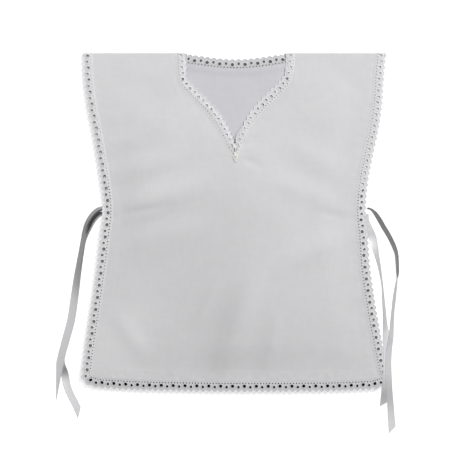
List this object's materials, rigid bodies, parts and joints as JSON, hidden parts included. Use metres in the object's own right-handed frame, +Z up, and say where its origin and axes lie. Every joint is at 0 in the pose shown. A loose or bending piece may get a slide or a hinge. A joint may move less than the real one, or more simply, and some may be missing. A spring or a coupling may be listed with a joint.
{
  "type": "christening gown",
  "caption": "Sleeveless child's christening smock laid flat, with a V neck, eyelet lace round its edges and long satin ribbon ties at the sides.",
  "frame": {"origin": "on the surface that the smock lies on, under the middle of its bounds without the ribbons", "axes": "+Y from the hem to the shoulders, +X to the right of the picture, +Z up out of the front"},
  "size_m": [0.4039, 0.4488, 0.0114],
  "materials": {
    "cloth_front": "plain woven cotton blend, matt, off white",
    "cloth_back": "plain woven cotton blend, matt, off white",
    "lace": "white eyelet edging, matt thread",
    "ribbon": "white satin, soft sheen"
  },
  "bodies": {
    "root": {"front_panel": "cloth_front", "back_panel": "cloth_back", "front_neck_lace_left": "lace", "front_neck_lace_right": "lace", "back_neck_lace": "lace", "front_side_lace_left": "lace", "front_side_lace_right": "lace", "front_hem_lace": "lace", "back_side_lace_left": "lace", "back_side_lace_right": "lace", "back_hem_lace": "lace", "ribbon_left_front": "ribbon", "ribbon_left_back": "ribbon", "ribbon_right_front": "ribbon", "ribbon_right_back": "ribbon"}
  },
  "joints": []
}
